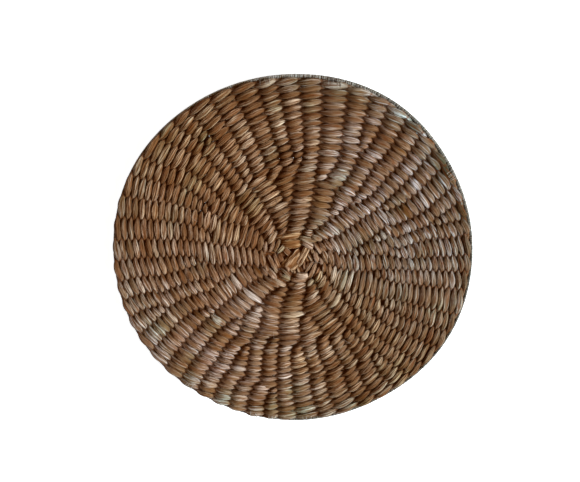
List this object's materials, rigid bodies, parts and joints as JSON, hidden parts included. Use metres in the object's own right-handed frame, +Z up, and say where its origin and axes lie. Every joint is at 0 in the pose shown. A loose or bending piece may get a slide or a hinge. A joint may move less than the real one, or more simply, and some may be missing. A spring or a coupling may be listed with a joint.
{
  "type": "round woven placemat",
  "caption": "Flat round table mat of twined leaf strands over radial spokes, with a cord whipped round its edge.",
  "frame": {"origin": "middle of the mat's outline, on the surface it lies on", "axes": "+Z up, square to the mat; +Y towards the side of the mat at the top of the view from above, +X to its right"},
  "size_m": [0.3796, 0.3796, 0.0094],
  "materials": {
    "leaf_strand": "dry twined leaf, matt with a faint sheen along its fibres",
    "edge_cord": "matt whipped cord, grey-green"
  },
  "bodies": {
    "root": {"woven_disc": "leaf_strand", "rim_binding": "edge_cord"}
  },
  "joints": []
}
